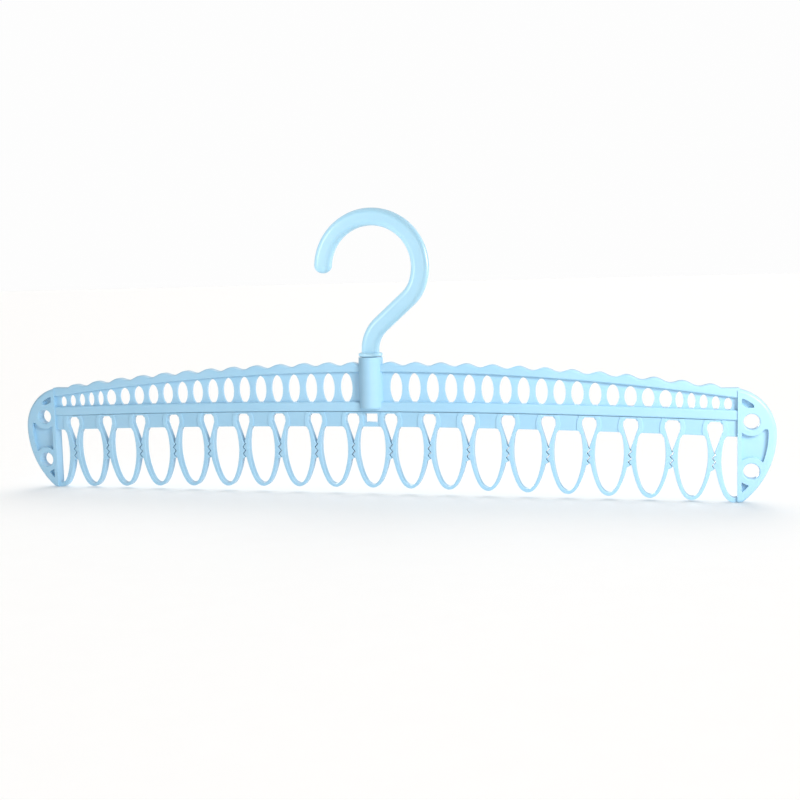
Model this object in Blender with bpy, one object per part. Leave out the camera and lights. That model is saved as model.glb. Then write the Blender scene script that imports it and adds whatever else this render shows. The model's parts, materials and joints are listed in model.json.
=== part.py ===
"""Drying hanger: a long moulded bar of clip fingers that swivels under a question-mark hook.

Metres, +Z up. The origin is the saddle, the point inside the hook that bears on the rod it hangs from.
X runs along the bar, Y through its thickness. The bar and its clips are one moulding on the real object.
"""
import math

import bmesh
import bpy

# The hook: its section, how far its big arc is set off from the swivel axis, and the bends of its centreline
HOOK_SADDLE_RADIUS = 0.0238
HOOK_ARC_SHIFT = 0.0016
HOOK_SECTION_WIDTH = 0.0101
HOOK_SECTION_DEPTH = 0.0078
HOOK_SECTION_CORNER = 0.0033
HOOK_TIP_LENGTH = 0.0044
HOOK_TIP_ANGLE = 176.6
HOOK_SIDE_ANGLE = -20.0
HOOK_NECK_ANGLE = -48.5
HOOK_NECK_RADIUS = 0.0200
HOOK_FOOT_RADIUS = 0.0200
HOOK_SHANK_LENGTH = 0.0012
HOOK_DEGREES_PER_STEP = 9.0
HOOK_CORNER_STEPS = 3
HOOK_TIP_STEPS = 4
HOOK_TIP_FLAT_SHARE = 0.16

# The swivel: collar over the socket, spindle inside it, split head that snaps under the shoulder
COLLAR_RADIUS = 0.0069
COLLAR_HEIGHT = 0.0020
COLLAR_EDGE = 0.0005
COLLAR_GAP = 0.0004
SPINDLE_RADIUS = 0.0035
SPINDLE_RUNNING_GAP = 0.0001
SPINDLE_SHOULDER_DEPTH = 0.0203
HEAD_RADIUS = 0.0046
HEAD_BAND = 0.0014
HEAD_LENGTH = 0.0058
HEAD_TIP_RADIUS = 0.0030
HEAD_SEAT_GAP = 0.0003
HEAD_SIDE_GAP = 0.0005
HEAD_END_GAP = 0.0014
HEAD_SLOT_WIDTH = 0.0018
HEAD_SLOT_LENGTH = 0.0150
ROUND_SIDES = 32

# The socket that stands in the middle of the bar
SOCKET_RADIUS = 0.0071
SOCKET_HEIGHT = 0.0304
SOCKET_BOTTOM_ROUND = 0.0022
SOCKET_TOP_EDGE = 0.0004
DRAIN_RADIUS = 0.0022
RAIL_BELOW_SOCKET = 0.00115

# The bar from end to end, and the clip fingers along it
BAR_LENGTH = 0.4477
CLIP_COUNT = 17
CLIP_FAN_RADIUS = 0.920
CLIP_DEPTH = 0.0046
CLIP_SIDE_GAP = 0.0006
CLIP_ROOT_GAP = 0.0003
CLIP_LENGTH = 0.04295
CLIP_WIDEST_HEIGHT = 0.0230
STRIP_WIDTH = 0.00295
STRIP_WIDTH_BOTTOM = 0.0023
HALF_STRIP_EXTRA = 0.0007
OPENING_TOP_BAR = 0.00755
OPENING_UPPER_REACH = 0.0225
OPENING_CORNER = 0.0016
CURVE_STEPS = 9

# The serrated grips where neighbouring fingers meet, and the drop-shaped gap over them
GRIP_TOP_HEIGHT = 0.0284
GRIP_TOOTH_HEIGHT = 0.00245
GRIP_TOOTH_REACH = 0.00085
GRIP_TOOTH_COUNT = 5
GRIP_STANDOFF = 0.0007
DROP_HALF_WIDTH = 0.0040
DROP_WIDEST_DEPTH = 0.0043
DROP_ROUND_REACH = 0.0012
ROOT_RIB_WIDTH = 0.0026

# The window over the middle clip, under the socket
WINDOW_WIDTH = 0.0073
WINDOW_HEIGHT = 0.0049

# The bar: lower rail, pierced web and scalloped upper band, each on its own arch
RAIL_HEIGHT = 0.00565
RAIL_DEPTH = 0.0060
RAIL_ARCH_RADIUS = 5.500
SPAN_STEPS = 36
WEB_THICKNESS = 0.0016
SKIRT_HEIGHT = 0.0012
BAND_RISE = 0.02285
BAND_HEIGHT = 0.0058
BAND_DEPTH = 0.0060
BAND_ARCH_RADIUS = 1.420
SCALLOP_FIRST = 0.0114
SCALLOP_STEP = 0.0149
SCALLOP_DEPTH = 0.0020
SCALLOP_POINTS = 6
SCALLOP_END_MARGIN = 0.0100

# The holes through the web
HOLE_FIRST = 0.0149
HOLE_STEP = 0.01085
HOLE_STEP_LOSS = 0.00011
HOLE_WIDTH = 0.0073
HOLE_WIDTH_LOSS = 0.00004
HOLE_TOP_MARGIN = 0.0006
HOLE_SINK = 0.0004
SMALL_HOLE_COUNT = 5
SMALL_HOLE_STEP = 0.00635
SMALL_HOLE_WIDTH = 0.0042
SMALL_HOLE_END_MARGIN = 0.0018
HOLE_SIDES = 14

# The end plates
PLATE_DEPTH = 0.0072
PLATE_EDGE_ROUND = 0.0018
PLATE_EDGE_STEPS = 2
PLATE_FLOOR = 0.0026
PLATE_RIB_WIDTH = 0.0022
PLATE_SHOULDER_RADIUS = 0.0248
PLATE_SHOULDER_INSET = 0.0047
PLATE_SHOULDER_DROP = 0.0148
PLATE_FLANK_RADIUS = 0.0480
PLATE_TIP_RADIUS = 0.0036
PLATE_RIM_WIDTH = 0.0043
PLATE_POCKET_CORNER = 0.0009
BOSS_RADIUS = 0.0076
BOSS_BRIDGE_ACROSS = 0.0012
BOSS_BRIDGE_DOWN = 0.0038
BOSS_HOLE_RADIUS = 0.00425
BOSS_INSET = 0.0072
UPPER_BOSS_DROP = 0.0329
LOWER_BOSS_DROP = 0.0596
PLATE_HOLE_SIDES = 24

PLASTIC_COLOUR = (0.385, 0.690, 0.885, 1.0)
PLASTIC_ROUGHNESS = 0.34
SHARP_EDGE_DEGREES = 30.0

# Heights worked out from the sizes above, from the saddle down
hook_radius = HOOK_SADDLE_RADIUS + HOOK_SECTION_WIDTH / 2
arc_centre_z = -math.sqrt(HOOK_SADDLE_RADIUS ** 2 - HOOK_ARC_SHIFT ** 2)
neck_start = math.radians(HOOK_SIDE_ANGLE)
neck_end = math.radians(HOOK_NECK_ANGLE)


def shank_points():
    """Ends of the hook's straight stretch and the height where the shank turns upright."""
    side = (HOOK_ARC_SHIFT + hook_radius * math.cos(neck_start), arc_centre_z + hook_radius * math.sin(neck_start))
    centre = (side[0] - HOOK_NECK_RADIUS * math.cos(neck_start), side[1] - HOOK_NECK_RADIUS * math.sin(neck_start))
    start = (centre[0] + HOOK_NECK_RADIUS * math.cos(neck_end), centre[1] + HOOK_NECK_RADIUS * math.sin(neck_end))
    end_x = HOOK_FOOT_RADIUS * (1 - math.cos(neck_end))
    run = (start[0] - end_x) / -math.sin(neck_end)
    end_z = start[1] - run * math.cos(neck_end)
    return centre, start, (end_x, end_z), end_z + HOOK_FOOT_RADIUS * math.sin(neck_end)


neck_centre, straight_start, straight_end, foot_z = shank_points()
collar_top = foot_z - HOOK_SHANK_LENGTH
collar_bottom = collar_top - COLLAR_HEIGHT
socket_top = collar_bottom - COLLAR_GAP
seat_z = socket_top - SPINDLE_SHOULDER_DEPTH
head_top = seat_z - HEAD_SEAT_GAP
head_bottom = head_top - HEAD_LENGTH
chamber_bottom = head_bottom - HEAD_END_GAP
socket_bottom = socket_top - SOCKET_HEIGHT
rail_low = socket_bottom - RAIL_BELOW_SOCKET
rail_top = rail_low + RAIL_HEIGHT
band_low = rail_low + BAND_RISE
crest_z = band_low + BAND_HEIGHT
skirt_low = rail_low - SKIRT_HEIGHT
clip_root = skirt_low - CLIP_ROOT_GAP
clip_bottom = clip_root - CLIP_LENGTH
plate_centre_x = BAR_LENGTH / 2 - PLATE_SHOULDER_RADIUS
rib_x = plate_centre_x + PLATE_SHOULDER_INSET
clip_pitch = 2 * (rib_x + PLATE_RIB_WIDTH / 4) / (CLIP_COUNT + 1)
shoulder_z = crest_z - PLATE_SHOULDER_DROP
boss_x = rib_x + BOSS_INSET


def rail_drop(x):
    """How far the lower arch has fallen at x."""
    return RAIL_ARCH_RADIUS - math.sqrt(RAIL_ARCH_RADIUS ** 2 - x * x)


def band_drop(x):
    """How far the upper arch has fallen at x."""
    return BAND_ARCH_RADIUS - math.sqrt(BAND_ARCH_RADIUS ** 2 - x * x)


def plastic(name):
    """A satin polypropylene material of the part's colour."""
    made = bpy.data.materials.new(name)
    made.use_nodes = True
    shader = made.node_tree.nodes["Principled BSDF"]
    shader.inputs["Base Color"].default_value = PLASTIC_COLOUR
    shader.inputs["Roughness"].default_value = PLASTIC_ROUGHNESS
    shader.inputs["Metallic"].default_value = 0.0
    made.diffuse_color = PLASTIC_COLOUR
    return made


def new_object(name, mesh):
    """Link a mesh to the scene under a name."""
    made = bpy.data.objects.new(name, mesh)
    bpy.context.scene.collection.objects.link(made)
    return made


def finish_bmesh(name, shape):
    """Turn a bmesh into a linked object with outward normals."""
    bmesh.ops.recalc_face_normals(shape, faces=shape.faces)
    mesh = bpy.data.meshes.new(name)
    shape.to_mesh(mesh)
    shape.free()
    return new_object(name, mesh)


def extruded(name, outline, depth):
    """A prism: the (x, z) outline, pushed through the thickness evenly on both sides of the mid plane."""
    shape = bmesh.new()
    corners = [shape.verts.new((x, -depth / 2, z)) for x, z in outline]
    face = shape.faces.new(corners)
    pushed = bmesh.ops.extrude_face_region(shape, geom=[face])
    moved = [item for item in pushed["geom"] if isinstance(item, bmesh.types.BMVert)]
    bmesh.ops.translate(shape, verts=moved, vec=(0, depth, 0))
    return finish_bmesh(name, shape)


def turned(name, profile, centre=(0.0, 0.0), sides=ROUND_SIDES):
    """A solid of revolution about an upright line through centre, from (radius, z) pairs starting and ending on it."""
    shape = bmesh.new()
    points = [shape.verts.new((centre[0] + radius, centre[1], z)) for radius, z in profile]
    edges = [shape.edges.new(pair) for pair in zip(points, points[1:])]
    bmesh.ops.spin(
        shape, geom=points + edges, cent=(centre[0], centre[1], 0), axis=(0, 0, 1),
        angle=2 * math.pi, steps=sides, use_duplicate=False,
    )
    bmesh.ops.remove_doubles(shape, verts=shape.verts, dist=1e-6)
    return finish_bmesh(name, shape)


def apply_boolean(target, tool, operation):
    """Combine two solids exactly, keep the result on the target and drop the tool."""
    tool.hide_render = True
    tool.display_type = "WIRE"
    step = target.modifiers.new(operation.lower(), "BOOLEAN")
    step.operation = operation
    step.solver = "EXACT"
    step.object = tool
    bpy.context.view_layer.update()
    result = bpy.data.meshes.new_from_object(target.evaluated_get(bpy.context.evaluated_depsgraph_get()))
    target.modifiers.clear()
    target.data = result
    bpy.data.objects.remove(tool)
    return target


def fuse(target, *tools):
    for tool in tools:
        apply_boolean(target, tool, "UNION")
    return target


def cut(target, *tools):
    for tool in tools:
        apply_boolean(target, tool, "DIFFERENCE")
    return target


def ellipse_point(across, up, angle):
    return across * math.cos(angle), up * math.sin(angle)


def arc(centre, radius, start, end, steps):
    """Points on an arc in the (x, z) plane, angles in degrees, both ends included."""
    angles = [math.radians(start + (end - start) * step / steps) for step in range(steps + 1)]
    return [(centre[0] + radius * math.cos(a), centre[1] + radius * math.sin(a)) for a in angles]


def mirrored(points):
    """The same points on the other side of x = 0, in the opposite order."""
    return [(-x, z) for x, z in reversed(points)]


def mirror_object(source, name):
    """A copy of a solid, reflected across x = 0."""
    mesh = source.data.copy()
    shape = bmesh.new()
    shape.from_mesh(mesh)
    bmesh.ops.scale(shape, vec=(-1, 1, 1), verts=shape.verts)
    bmesh.ops.reverse_faces(shape, faces=shape.faces)
    shape.to_mesh(mesh)
    shape.free()
    return new_object(name, mesh)


def fan_x(place):
    """Where a place counted in clips from the middle lies along the bar; the outer clips stand a little closer."""
    return CLIP_FAN_RADIUS * math.sin(place * clip_pitch / CLIP_FAN_RADIUS)


def gap_x(place):
    """Where the gap between a finger and the next one to its right lies."""
    return (fan_x(place) + fan_x(place + 1)) / 2


# Clip finger, with its own zero at the middle of its root line
def opening_half(edge, extra=0.0):
    """Half of a finger's opening, top down; edge is the finger's half width and extra thickens its strip."""
    floor = -CLIP_LENGTH
    across = edge - STRIP_WIDTH - extra
    rise = (CLIP_LENGTH - OPENING_TOP_BAR - CLIP_WIDEST_HEIGHT) / OPENING_UPPER_REACH
    top_half = across * math.sqrt(1 - rise * rise)
    down = CLIP_WIDEST_HEIGHT - STRIP_WIDTH_BOTTOM - extra
    points = arc((top_half - OPENING_CORNER, -OPENING_TOP_BAR - OPENING_CORNER), OPENING_CORNER, 90, 10, 3)
    start = math.asin((points[-1][1] - floor - CLIP_WIDEST_HEIGHT) / OPENING_UPPER_REACH)
    upper_steps = CURVE_STEPS // 2
    for step in range(1, upper_steps):
        x, z = ellipse_point(across, OPENING_UPPER_REACH, start * (1 - step / upper_steps))
        points.append((x, floor + CLIP_WIDEST_HEIGHT + z))
    for step in range(CURVE_STEPS + 1):
        x, z = ellipse_point(across, -down, math.pi / 2 * step / CURVE_STEPS)
        points.append((x, floor + CLIP_WIDEST_HEIGHT + z))
    return points


def grip_teeth():
    """The zigzag between two fingers, as (offset from mid line, height over the finger's bottom), top down."""
    points = []
    for tooth in range(GRIP_TOOTH_COUNT):
        reach = GRIP_TOOTH_REACH if tooth % 2 == 0 else -GRIP_TOOTH_REACH
        points.append((reach, GRIP_TOP_HEIGHT - GRIP_TOOTH_HEIGHT * (tooth + 0.5)))
    return points


def drop_side(edge):
    """The finger's side along the drop-shaped gap, from the root down to the first grip."""
    drop_x = edge + CLIP_SIDE_GAP / 2 - DROP_HALF_WIDTH
    points = []
    for degrees in (90, 50, 20):
        x, z = ellipse_point(DROP_ROUND_REACH, DROP_WIDEST_DEPTH, math.radians(degrees))
        points.append((drop_x + DROP_ROUND_REACH - x, z - DROP_WIDEST_DEPTH))
    return points + [(drop_x, -DROP_WIDEST_DEPTH)]


def outer_side(edge, side):
    """Outer edge of the finger on one side, from the root down to the bottom; side is 1 or -1."""
    floor = -CLIP_LENGTH
    points = drop_side(edge)
    points += [(edge, floor + GRIP_TOP_HEIGHT)]
    points += [(edge + side * reach, floor + height) for reach, height in grip_teeth()]
    grip_bottom = GRIP_TOP_HEIGHT - GRIP_TOOTH_HEIGHT * GRIP_TOOTH_COUNT
    start = math.asin((CLIP_WIDEST_HEIGHT - grip_bottom) / CLIP_WIDEST_HEIGHT)
    for step in range(CURVE_STEPS + 1):
        angle = start + (math.pi / 2 - start) * step / CURVE_STEPS
        x, z = ellipse_point(edge - GRIP_STANDOFF, -CLIP_WIDEST_HEIGHT, angle)
        points.append((x, floor + CLIP_WIDEST_HEIGHT + z))
    return [(side * x, z) for x, z in points]


def rib_line(edge):
    """Inner edge of the strip beside the plate, from the root down to the widest part of the drop-shaped gap."""
    return [(x - ROOT_RIB_WIDTH, z) for x, z in drop_side(edge)]


def make_finger(name, left, right, extra):
    """One clip finger about its own root line, left and right of it by the given half widths."""
    left_inner = mirrored(rib_line(left) + opening_half(left, extra))
    right_inner = rib_line(right) + opening_half(right, extra)
    outside = outer_side(right, 1) + outer_side(left, -1)[::-1][1:]
    strip = outside + left_inner[::-1][:-1] + right_inner[::-1]
    finger = extruded(name, strip, CLIP_DEPTH)
    plate = plate_side(right, extra) + mirrored(plate_side(left, extra))
    return fuse(finger, extruded("finger_plate", plate, WEB_THICKNESS))


def plate_side(edge, extra):
    """Right edge of the finger's thin plate, buried in the strip by a third of its width."""
    overlap = ROOT_RIB_WIDTH / 3
    top_corner = opening_half(edge, extra)[0]
    return [(x + overlap, z) for x, z in rib_line(edge)] + [(top_corner[0] + overlap, top_corner[1])]


def hang_on_arch(finger, x):
    """Move a finger so that it hangs at x and its root follows the lower arch."""
    for vertex in finger.data.vertices:
        vertex.co.z -= rail_drop(x + vertex.co.x) - rail_drop(x)
    finger.location = (x, 0, clip_root - rail_drop(x))
    return finger


def place_finger(name, place, extra=0.0):
    """The finger at a place counted in clips from the middle, as wide as the half gaps to its neighbours allow."""
    x = fan_x(place)
    left = x - gap_x(place - 1) - CLIP_SIDE_GAP / 2
    right = gap_x(place) - x - CLIP_SIDE_GAP / 2
    return hang_on_arch(make_finger(name, left, right, extra), x)


def place_clips():
    """Every whole finger along the bar, each with its origin on its own root line."""
    middle = (CLIP_COUNT - 1) / 2
    for index in range(CLIP_COUNT):
        clip = place_finger(f"clip_{index + 1:02d}", index - middle)
        if index == round(middle):
            cut_window(clip)


def cut_window(clip):
    """The square window in the middle clip, open towards the skirt above it."""
    half = WINDOW_WIDTH / 2
    low = CLIP_ROOT_GAP - WINDOW_HEIGHT
    high = WINDOW_HEIGHT
    tool = extruded("window", [(-half, low), (half, low), (half, high), (-half, high)], 2 * CLIP_DEPTH)
    tool.location = clip.location
    cut(clip, tool)


def place_half_clips():
    """The two half fingers that close against the end plates."""
    for side, name in ((-1, "half_clip_left"), (1, "half_clip_right")):
        half = place_finger(name, side * (CLIP_COUNT + 1) / 2, HALF_STRIP_EXTRA)
        face = side * (rib_x - CLIP_ROOT_GAP)
        far = face + side * clip_pitch
        low = clip_bottom - CLIP_LENGTH
        high = clip_root + CLIP_LENGTH
        tool = extruded("half_cut", [(face, low), (far, low), (far, high), (face, high)], 2 * CLIP_DEPTH)
        cut(half, tool)


# Bar
def span():
    """Evenly spaced stations along the bar, from the middle of one end rib to the middle of the other."""
    end = rib_x + PLATE_RIB_WIDTH / 2
    return [-end + 2 * end * step / SPAN_STEPS for step in range(SPAN_STEPS + 1)]


def arched_strip(name, low, high, drop, depth):
    """A straight-sided member of the bar that follows one arch."""
    bottom = [(x, low - drop(x)) for x in span()]
    top = [(x, high - drop(x)) for x in reversed(span())]
    return extruded(name, bottom + top, depth)


def last_crest():
    count = int((rib_x - SCALLOP_END_MARGIN - SCALLOP_FIRST) / SCALLOP_STEP)
    return SCALLOP_FIRST + count * SCALLOP_STEP


def scallop_z(x):
    """Height of the scalloped upper edge at x."""
    x = abs(x)
    phase = 2 * math.pi * (x - SCALLOP_FIRST) / SCALLOP_STEP
    wave = SCALLOP_DEPTH * (1 - math.cos(phase)) / 2
    return crest_z - band_drop(x) - wave


def band_top_line():
    """Upper edge of the band from the left end to the right end."""
    step = SCALLOP_STEP / SCALLOP_POINTS
    end = last_crest() + SCALLOP_STEP / 3
    right = []
    station = SCALLOP_FIRST - SCALLOP_STEP / 2
    while station < end + step / 2:
        right.append((station, scallop_z(station)))
        station += step
    right += [(rib_x + PLATE_RIB_WIDTH / 2, shoulder_z)]
    return mirrored(right) + right


def make_band():
    bottom = [(x, band_low - band_drop(x)) for x in span()]
    return extruded("band", bottom + list(reversed(band_top_line())), BAND_DEPTH)


def web_hole(x, width):
    """One upright oval through the web, between the rail and the band."""
    low = rail_top - rail_drop(x) - HOLE_SINK
    high = band_low - band_drop(x) - HOLE_TOP_MARGIN
    middle = (low + high) / 2
    points = []
    for side in range(HOLE_SIDES):
        across, up = ellipse_point(width / 2, (high - low) / 2, 2 * math.pi * side / HOLE_SIDES)
        points.append((x + across, middle + up))
    return extruded("hole", points, 3 * WEB_THICKNESS)


def hole_stations():
    """Distance from the middle and width of every web hole on one side."""
    small_start = rib_x - SMALL_HOLE_END_MARGIN - (SMALL_HOLE_COUNT - 0.5) * SMALL_HOLE_STEP
    stations = []
    x = HOLE_FIRST
    step = HOLE_STEP
    width = HOLE_WIDTH
    while x + (width + SMALL_HOLE_WIDTH) / 2 < small_start:
        stations.append((x, width))
        x += step
        step -= HOLE_STEP_LOSS
        width -= HOLE_WIDTH_LOSS
    stations += [(small_start + index * SMALL_HOLE_STEP, SMALL_HOLE_WIDTH) for index in range(SMALL_HOLE_COUNT)]
    return stations


def make_web():
    bottom = [(x, skirt_low - rail_drop(x)) for x in span()]
    top = [(x, band_low + BAND_HEIGHT / 2 - band_drop(x)) for x in reversed(span())]
    web = extruded("web", bottom + top, WEB_THICKNESS)
    holes = [web_hole(side * x, width) for x, width in hole_stations() for side in (-1, 1)]
    joined = bmesh.new()
    for hole in holes:
        joined.from_mesh(hole.data)
        bpy.data.objects.remove(hole)
    return cut(web, finish_bmesh("holes", joined))


def rounded_corner(radius, depth_z, rise, steps=3):
    """Profile points of an outward rounded edge that ends at full radius, from its lower end up."""
    return [(radius - rise * (1 - math.sin(math.radians(90 * step / steps))),
             depth_z + rise * (1 - math.cos(math.radians(90 * step / steps)))) for step in range(steps + 1)]


def make_socket():
    profile = [(0.0, socket_bottom)]
    profile += rounded_corner(SOCKET_RADIUS, socket_bottom, SOCKET_BOTTOM_ROUND)
    profile += [(SOCKET_RADIUS, socket_top - SOCKET_TOP_EDGE), (SOCKET_RADIUS - SOCKET_TOP_EDGE, socket_top)]
    profile += [(0.0, socket_top)]
    return turned("socket", profile)


def socket_bore():
    """The stepped hole that the spindle turns in: bore, head chamber and drain."""
    bore = SPINDLE_RADIUS + SPINDLE_RUNNING_GAP
    chamber = HEAD_RADIUS + HEAD_SIDE_GAP
    above = socket_top + COLLAR_GAP
    below = skirt_low - SKIRT_HEIGHT
    profile = [(0.0, below), (DRAIN_RADIUS, below), (DRAIN_RADIUS, chamber_bottom), (chamber, chamber_bottom)]
    profile += [(chamber, seat_z), (bore, seat_z), (bore, above), (0.0, above)]
    return turned("socket_bore", profile)


# End plate, drawn on the right
def shoulder_centre():
    """Centre of the upper corner's arc."""
    return plate_centre_x, shoulder_z - PLATE_SHOULDER_RADIUS


def flank_centre():
    """Centre of the long outer side's arc, which runs on from the upper corner."""
    x, z = shoulder_centre()
    return x + PLATE_SHOULDER_RADIUS - PLATE_FLANK_RADIUS, z


def tip_centre():
    """Centre of the rounded tip, touching the flank inside and level with the finger bottoms."""
    z = clip_bottom - rail_drop(rib_x) + PLATE_TIP_RADIUS
    centre = flank_centre()
    reach = PLATE_FLANK_RADIUS - PLATE_TIP_RADIUS
    return centre[0] + math.sqrt(reach ** 2 - (centre[1] - z) ** 2), z


def plate_outline(inset, left):
    """Outline of the plate drawn in from its edge by inset, closed by an upright line at x = left."""
    flank = flank_centre()
    tip = tip_centre()
    tip_angle = math.degrees(math.atan2(tip[1] - flank[1], tip[0] - flank[0]))
    tip_radius = max(PLATE_TIP_RADIUS - inset, PLATE_POCKET_CORNER)
    points = arc(shoulder_centre(), PLATE_SHOULDER_RADIUS - inset, 90, 0, 10)
    points += arc(flank, PLATE_FLANK_RADIUS - inset, 0, tip_angle, 8)[1:]
    points += arc(tip, tip_radius, tip_angle, -90, 3)[1:]
    points = [point for point in points if point[0] > left]
    return [(left, points[0][1])] + points + [(left, points[-1][1])]


def round_solid(name, x, z, radius, depth, sides=PLATE_HOLE_SIDES):
    """A disc facing the front, about (x, z)."""
    return extruded(name, arc((x, z), radius, 0, 360 - 360 / sides, sides - 1), depth)


def round_rim(plate):
    """Round the outer edges of the plate's two faces; the side against the bar stays square."""
    shape = bmesh.new()
    shape.from_mesh(plate.data)
    edges = [edge for edge in shape.edges if len({vertex.co.y > 0 for vertex in edge.verts}) == 1
             and max(vertex.co.x for vertex in edge.verts) > rib_x + PLATE_EDGE_ROUND / 4]
    bmesh.ops.bevel(
        shape, geom=edges, offset=min(PLATE_EDGE_ROUND, PLATE_TIP_RADIUS / 2), segments=PLATE_EDGE_STEPS,
        profile=0.5, affect="EDGES", clamp_overlap=False,
    )
    shape.to_mesh(plate.data)
    shape.free()
    return plate


def pocket_cutter(bosses, side):
    """Sinks one face of the plate down to its floor and leaves the bosses standing level with the rim."""
    cutter = extruded("pocket", plate_outline(PLATE_RIM_WIDTH, rib_x + PLATE_RIB_WIDTH), PLATE_DEPTH)
    for x, z in bosses:
        cut(cutter, round_solid("boss", x, z, BOSS_RADIUS, PLATE_DEPTH * 2))
    near = bosses[0][0] + BOSS_BRIDGE_ACROSS
    far = near + PLATE_SHOULDER_RADIUS
    low = bosses[0][1] - BOSS_BRIDGE_DOWN
    cut(cutter, extruded("bridge", [(near, low), (far, low), (far, crest_z), (near, crest_z)], PLATE_DEPTH * 2))
    cutter.location.y = side * (PLATE_FLOOR + PLATE_DEPTH) / 2
    return cutter


def make_plate():
    """The right end plate: rim, rib and two bosses around sunken floors, and two holes."""
    plate = round_rim(extruded("plate", plate_outline(0.0, rib_x), PLATE_DEPTH))
    bosses = [(boss_x, crest_z - UPPER_BOSS_DROP), (boss_x, crest_z - LOWER_BOSS_DROP)]
    cut(plate, pocket_cutter(bosses, -1), pocket_cutter(bosses, 1))
    for x, z in bosses:
        cut(plate, round_solid("plate_hole", x, z, BOSS_HOLE_RADIUS, PLATE_DEPTH * 2))
    return plate


def make_bar():
    """The rigid middle of the moulding: band, web, rail, socket and both end plates in one body."""
    bar = make_web()
    plate = make_plate()
    other_plate = mirror_object(plate, "other_plate")
    rail = arched_strip("rail", rail_low, rail_top, rail_drop, RAIL_DEPTH)
    fuse(bar, rail, make_band(), plate, other_plate, make_socket())
    cut(bar, socket_bore())
    bar.name = "hanger_bar"
    return bar


# Hook
def section_ring():
    """The hook's rounded rectangular section, as (across, through) pairs about its centreline."""
    half_width = HOOK_SECTION_WIDTH / 2 - HOOK_SECTION_CORNER
    half_depth = HOOK_SECTION_DEPTH / 2 - HOOK_SECTION_CORNER
    points = []
    for quarter, (sign_x, sign_y) in enumerate(((1, 1), (-1, 1), (-1, -1), (1, -1))):
        for step in range(HOOK_CORNER_STEPS + 1):
            angle = math.radians(90 * (quarter + step / HOOK_CORNER_STEPS))
            points.append((sign_x * half_width + HOOK_SECTION_CORNER * math.cos(angle),
                           sign_y * half_depth + HOOK_SECTION_CORNER * math.sin(angle)))
    return points


def sweep(shape, face, centre, degrees):
    """Carry the last section round an arc in the (x, z) plane and return the section at its end."""
    steps = max(1, round(abs(degrees) / HOOK_DEGREES_PER_STEP))
    swept = bmesh.ops.spin(
        shape, geom=[face], cent=(centre[0], 0, centre[1]), axis=(0, 1, 0),
        angle=math.radians(degrees), steps=steps, use_duplicate=False,
    )
    return next(item for item in swept["geom_last"] if isinstance(item, bmesh.types.BMFace))


def tip_ring(shape, middle, along, share, reach):
    """One ring of the hook's rounded tip: the section shrunk to a share of its size, reach beyond the arc's end."""
    ring = []
    for across, through in section_ring():
        x = middle[0] - along[1] * across * share - along[0] * reach
        z = middle[1] + along[0] * across * share - along[1] * reach
        ring.append(shape.verts.new((x, through * share, z)))
    return ring


def make_hook_arm():
    """The bent arm from its tip, over the top and down the neck into the collar."""
    shape = bmesh.new()
    tip = math.radians(HOOK_TIP_ANGLE)
    along = (math.sin(tip), -math.cos(tip))
    middle = (HOOK_ARC_SHIFT + hook_radius * math.cos(tip), arc_centre_z + hook_radius * math.sin(tip))
    rings = []
    steepest = math.acos(HOOK_TIP_FLAT_SHARE)
    for step in range(HOOK_TIP_STEPS + 1):
        angle = steepest * (1 - step / HOOK_TIP_STEPS)
        rings.append(tip_ring(shape, middle, along, math.cos(angle), HOOK_TIP_LENGTH * math.sin(angle)))
    shape.faces.new(rings[0])
    for outer, inner in zip(rings, rings[1:]):
        count = len(outer)
        for index in range(count):
            after = (index + 1) % count
            shape.faces.new((outer[index], outer[after], inner[after], inner[index]))
    face = shape.faces.new(rings[-1])
    face = sweep(shape, face, (HOOK_ARC_SHIFT, arc_centre_z), HOOK_TIP_ANGLE - HOOK_SIDE_ANGLE)
    face = sweep(shape, face, neck_centre, HOOK_SIDE_ANGLE - HOOK_NECK_ANGLE)
    run = (straight_end[0] - straight_start[0], 0, straight_end[1] - straight_start[1])
    pushed = bmesh.ops.extrude_face_region(shape, geom=[face])
    moved = [item for item in pushed["geom"] if isinstance(item, bmesh.types.BMVert)]
    bmesh.ops.translate(shape, verts=moved, vec=run)
    face = next(item for item in pushed["geom"] if isinstance(item, bmesh.types.BMFace))
    face = sweep(shape, face, (HOOK_FOOT_RADIUS, foot_z), HOOK_NECK_ANGLE)
    pushed = bmesh.ops.extrude_face_region(shape, geom=[face])
    moved = [item for item in pushed["geom"] if isinstance(item, bmesh.types.BMVert)]
    bmesh.ops.translate(shape, verts=moved, vec=(0, 0, collar_bottom + COLLAR_HEIGHT / 2 - foot_z))
    inner = [face for face in shape.faces if all(len(edge.link_faces) > 2 for edge in face.edges)]
    bmesh.ops.delete(shape, geom=inner, context="FACES_ONLY")
    return finish_bmesh("hook_arm", shape)


def make_swivel():
    """Collar, spindle and snap head, turned about the swivel axis, with the slot that lets the head spring in."""
    profile = [(0.0, head_bottom), (HEAD_TIP_RADIUS, head_bottom), (HEAD_RADIUS, head_top - HEAD_BAND)]
    profile += [(HEAD_RADIUS, head_top), (SPINDLE_RADIUS, head_top), (SPINDLE_RADIUS, collar_bottom)]
    profile += [(COLLAR_RADIUS, collar_bottom), (COLLAR_RADIUS, collar_top - COLLAR_EDGE)]
    profile += [(COLLAR_RADIUS - COLLAR_EDGE, collar_top), (0.0, collar_top)]
    swivel = turned("swivel", profile)
    half = HEAD_SLOT_WIDTH / 2
    low = head_bottom - HEAD_LENGTH
    high = head_bottom + HEAD_SLOT_LENGTH
    return cut(swivel, extruded("slot", [(-half, low), (half, low), (half, high), (-half, high)], 4 * HEAD_RADIUS))


def make_hook():
    hook = fuse(make_hook_arm(), make_swivel())
    hook.name = "swivel_hook"
    return hook


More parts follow.
